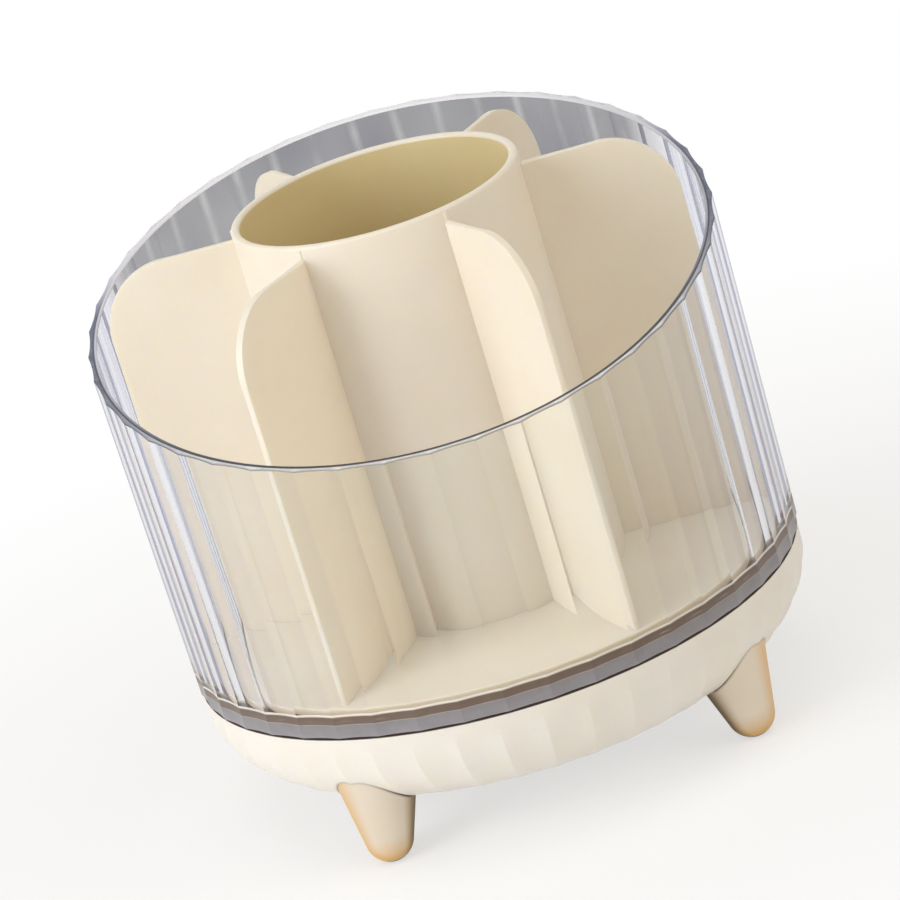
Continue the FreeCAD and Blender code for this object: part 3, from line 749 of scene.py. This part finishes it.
def inner_finish(name, pale, deep, rough, cloud_size, grain_size, relief, **more):
    """An inner part's plain finish: its colour goes with clouds of that size, its gloss and skin with a fine grain."""
    finish = new_finish(name)
    grain = finish.noise(grain_size)
    skin = finish.surface(
        Base_Color=finish.tint(finish.noise(cloud_size, 3), colour(pale), colour(deep)),
        Roughness=finish.spread(grain, *WIDE_RUN, *rough),
        Normal=finish.bump(grain, relief),
        **more,
    )
    return finish.done(skin)


def plain_moulding(name, pale, deep, rough):
    """An inner part's moulded plastic with a fine grain."""
    return inner_finish(name, pale, deep, (rough, rough + 0.12), 8 * MM, 0.3 * MM, 0.01 * MM)


def plain_metal(name, pale, deep, rough, grain=0.25 * MM):
    """A fastener's or ball's metal, with its colour and gloss a little uneven."""
    return inner_finish(name, pale, deep, (rough, rough + 0.1), grain * 6, grain, 0.004 * MM, Metallic=1.0)


# finishes on their pieces

# the cup's finishes, in the order in which it carries them
OUTSIDE, INSIDE, FLOOR, EDGE, RIM = range(5)

# how much a face of the rim looks up, how far inside the cup's radius the floor's finish ends, and the bore's play
RIM_LOOKS_UP = 0.3
FLOOR_INSET = 1.5 * MM
BORE_PLAY = 0.05 * MM


def cup_zone(face):
    """Which of the cup's finishes a face takes."""
    middle, normal = face.center, face.normal
    if middle.z > band_top and abs(normal.z) > RIM_LOOKS_UP:
        return RIM
    if middle.z > cup_inside + CUP_CORNER and normal.x * middle.x + normal.y * middle.y < 0:
        return INSIDE
    if math.hypot(middle.x, middle.y) < CUP_RADIUS - FLOOR_INSET:
        return FLOOR
    return EDGE if middle.z < band_top else OUTSIDE


def finish_cup(cup):
    """Clear all over, with a finish of its own for each zone."""
    coat(clear_moulding("clear_outside"), cup)
    for material in (
        clear_moulding("clear_inside", shade_far_wall=True),
        clear_moulding("clear_floor", gap_from=INSERT_RING[0]),
        clear_moulding("clear_edge", lamp_tone=GAP_SHADE_TONE, body=band_painted_tones),
        clear_moulding("clear_rim", body=rim_painted_tones),
    ):
        cup.data.materials.append(material)
    for face in cup.data.polygons:
        face.material_index = cup_zone(face)


def finish_insert(insert):
    """Cream all over, with a painted shade in the bore below the tube's lip: a darker, yellower cream."""
    coat(cream_moulding("cream_moulding", "eee6d9", "ebe2d2"), insert)
    # painted shade in the bore, a darker and yellower cream
    insert.data.materials.append(cream_moulding("cream_bore", "e2d5a9", "ded0a2"))
    bore = TUBE_RADIUS - TUBE_WALL + BORE_PLAY
    for face in insert.data.polygons:
        middle = face.center
        in_bore = math.hypot(middle.x, middle.y) < bore and middle.z < tube_top - TUBE_LIP
        face.material_index = int(in_bore)


def finish_base():
    """The finishes of the base, the turntable and what is between them, and of the cup's screws."""
    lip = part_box("base_shell")[1].z
    coat(cream_moulding("cream_base", "f0ebe4", "ece6dc", lip), "base_shell")
    coat(cream_moulding("cream_plate", "f0ebe4", "ece6dc"), "turntable_plate")
    coat(satin_champagne(), "foot_front_left", "foot_front_right", "foot_rear_left", "foot_rear_right")
    coat(plain_moulding("race_white", "ece9e2", "e2ded4", 0.3), "lower_race", "upper_race")
    coat(plain_moulding("cage_nylon", "d9d3c2", "cfc8b5", 0.4), "ball_cage")
    coat(plain_metal("ball_steel", "d6d8da", "c9ccd0", 0.08, 0.5 * MM), "bearing_balls")
    coat(plain_metal("bush_brass", "d8b56a", "c79f52", 0.3), "pivot_bush")
    zinc = plain_metal("zinc_plate", "c3c7cb", "aeb3ba", 0.28)
    coat(zinc, "foot_screws", "lower_race_screws", "upper_race_screws", cup_screws())
    coat(zinc, "pivot_bolt", "pivot_washer", "lock_nut")


# the room

WHITE = (1, 1, 1, 1)

# the floor, in metres: how far from the holder it begins to be seen as pure white, where it is, and its least share
FLOOR_SIZE = 4
FLOOR_UNDER = 0.02 * MM
FLOOR_WHITE_FROM = 0.1
FLOOR_WHITE_AT = 0.3
FLOOR_WHITE_LEAST = 0.6

# the even light on everything
AMBIENT = 0.4
AMBIENT_TONE = colour("fff8ec")

# each lamp's name, azimuth (0 is the front, 90 the right), elevation, distance, size, power and tone
LAMP_AIM = Vector((0, 0, 70 * MM))
LAMPS = (
    ("key_left", -60, 21, 1.1, (0.6, 0.8), 6.6, "fbfcff"),
    ("low_left", -50, 4, 1.0, (0.12, 0.4), 0.6, "fbfcff"),
    ("fill_right", 60, 25, 1.3, (0.7, 0.7), 2.9, "fff5e6"),
    ("overhead", 10, 85, 1.2, (0.9, 0.9), 3.6, "ffffff"),
)

# the photograph's view, fitted to its outlines
VIEW_ELEVATION = math.radians(20.417)
VIEW_ROLL = math.radians(16.931)
VIEW_YAW = math.radians(-0.022)
VIEW_PITCH = math.radians(-1.4666)
VIEW_DISTANCE = 1396.83 * MM
VIEW_AIM = Vector((0, 0, 35.4 * MM))
VIEW_LENS = 241.06
VIEW_SENSOR = 36
VIEW_CLIP = (0.05, 20)


def seen_share(finish):
    """1 for rays from the eye, straight or by way of gloss or glass."""
    share = finish.rays("Is Camera Ray")
    for name in ("Is Glossy Ray", "Is Transmission Ray"):
        share = finish.node("ShaderNodeMath", {"operation": "MAXIMUM"}, {0: share, 1: finish.rays(name)})
    return share


def floor():
    """A plain white floor. Away from the holder it is seen as pure white; near it, it keeps the shadow."""
    shape = bmesh.new()
    bmesh.ops.create_grid(shape, x_segments=2, y_segments=2, size=FLOOR_SIZE)
    plane = piece("floor", shape, None)
    plane.location.z = -FLOOR_UNDER
    finish = new_finish("floor_white")
    far = finish.spread(finish.length(finish.place()), FLOOR_WHITE_FROM, FLOOR_WHITE_AT, FLOOR_WHITE_LEAST, 1)
    matte = finish.node("ShaderNodeBsdfDiffuse", inputs={"Color": colour("fbfbfb")})
    white = finish.node("ShaderNodeEmission", inputs={"Color": WHITE, "Strength": 1.0})
    coat(finish.done(finish.mixed(seen_share(finish) * far, matte, white)), plane)


def world():
    """White where it is seen, and a soft even light on everything else."""
    room = bpy.data.worlds.new("studio")
    bpy.context.scene.world = room
    finish = Finish(room)
    seen = seen_share(finish)
    tone = finish.tint(seen, AMBIENT_TONE, WHITE)
    strength = seen * (1 - AMBIENT) + AMBIENT
    glow = finish.node("ShaderNodeBackground", inputs={"Color": tone, "Strength": strength})
    finish.done(glow, "ShaderNodeOutputWorld")


def softbox(name, azimuth, elevation, distance, size, power, tone):
    """A rectangular lamp that looks at the holder's middle."""
    light = bpy.data.lights.new(name, "AREA")
    light.shape = "RECTANGLE"
    light.size, light.size_y = size
    light.energy = power
    light.color = colour(tone)[:3]
    lamp = bpy.data.objects.new(name, light)
    bpy.context.scene.collection.objects.link(lamp)
    a, e = math.radians(azimuth), math.radians(elevation)
    away = Vector((math.sin(a) * math.cos(e), -math.cos(a) * math.cos(e), math.sin(e)))
    lamp.location = LAMP_AIM + away * distance
    lamp.rotation_mode = "QUATERNION"
    lamp.rotation_quaternion = away.to_track_quat("Z", "Y")


def camera():
    """A long lens, looking down a little, with the whole picture rolled."""
    up, level = math.sin(VIEW_ELEVATION), math.cos(VIEW_ELEVATION)
    lift = Matrix(((1, 0, 0), (0, up, level), (0, -level, up)))
    pitched = Matrix.Rotation(VIEW_PITCH, 3, "X") @ Matrix.Rotation(VIEW_YAW, 3, "Y")
    axes = (Matrix.Rotation(VIEW_ROLL, 3, "Z") @ pitched @ lift).transposed()
    data = bpy.data.cameras.new("photo_view")
    data.sensor_width = VIEW_SENSOR
    data.lens = VIEW_LENS
    data.clip_start, data.clip_end = VIEW_CLIP
    view = bpy.data.objects.new("photo_view", data)
    bpy.context.scene.collection.objects.link(view)
    place = VIEW_AIM + VIEW_DISTANCE * Vector((0, -level, up))
    view.matrix_world = Matrix.Translation(place) @ axes.to_4x4()
    bpy.context.scene.camera = view


finish_cup(clear_cup())
finish_insert(divider_insert())
finish_base()
floor()
world()
for lamp_row in LAMPS:
    softbox(*lamp_row)
camera()
bpy.context.scene.view_settings.view_transform = "Standard"
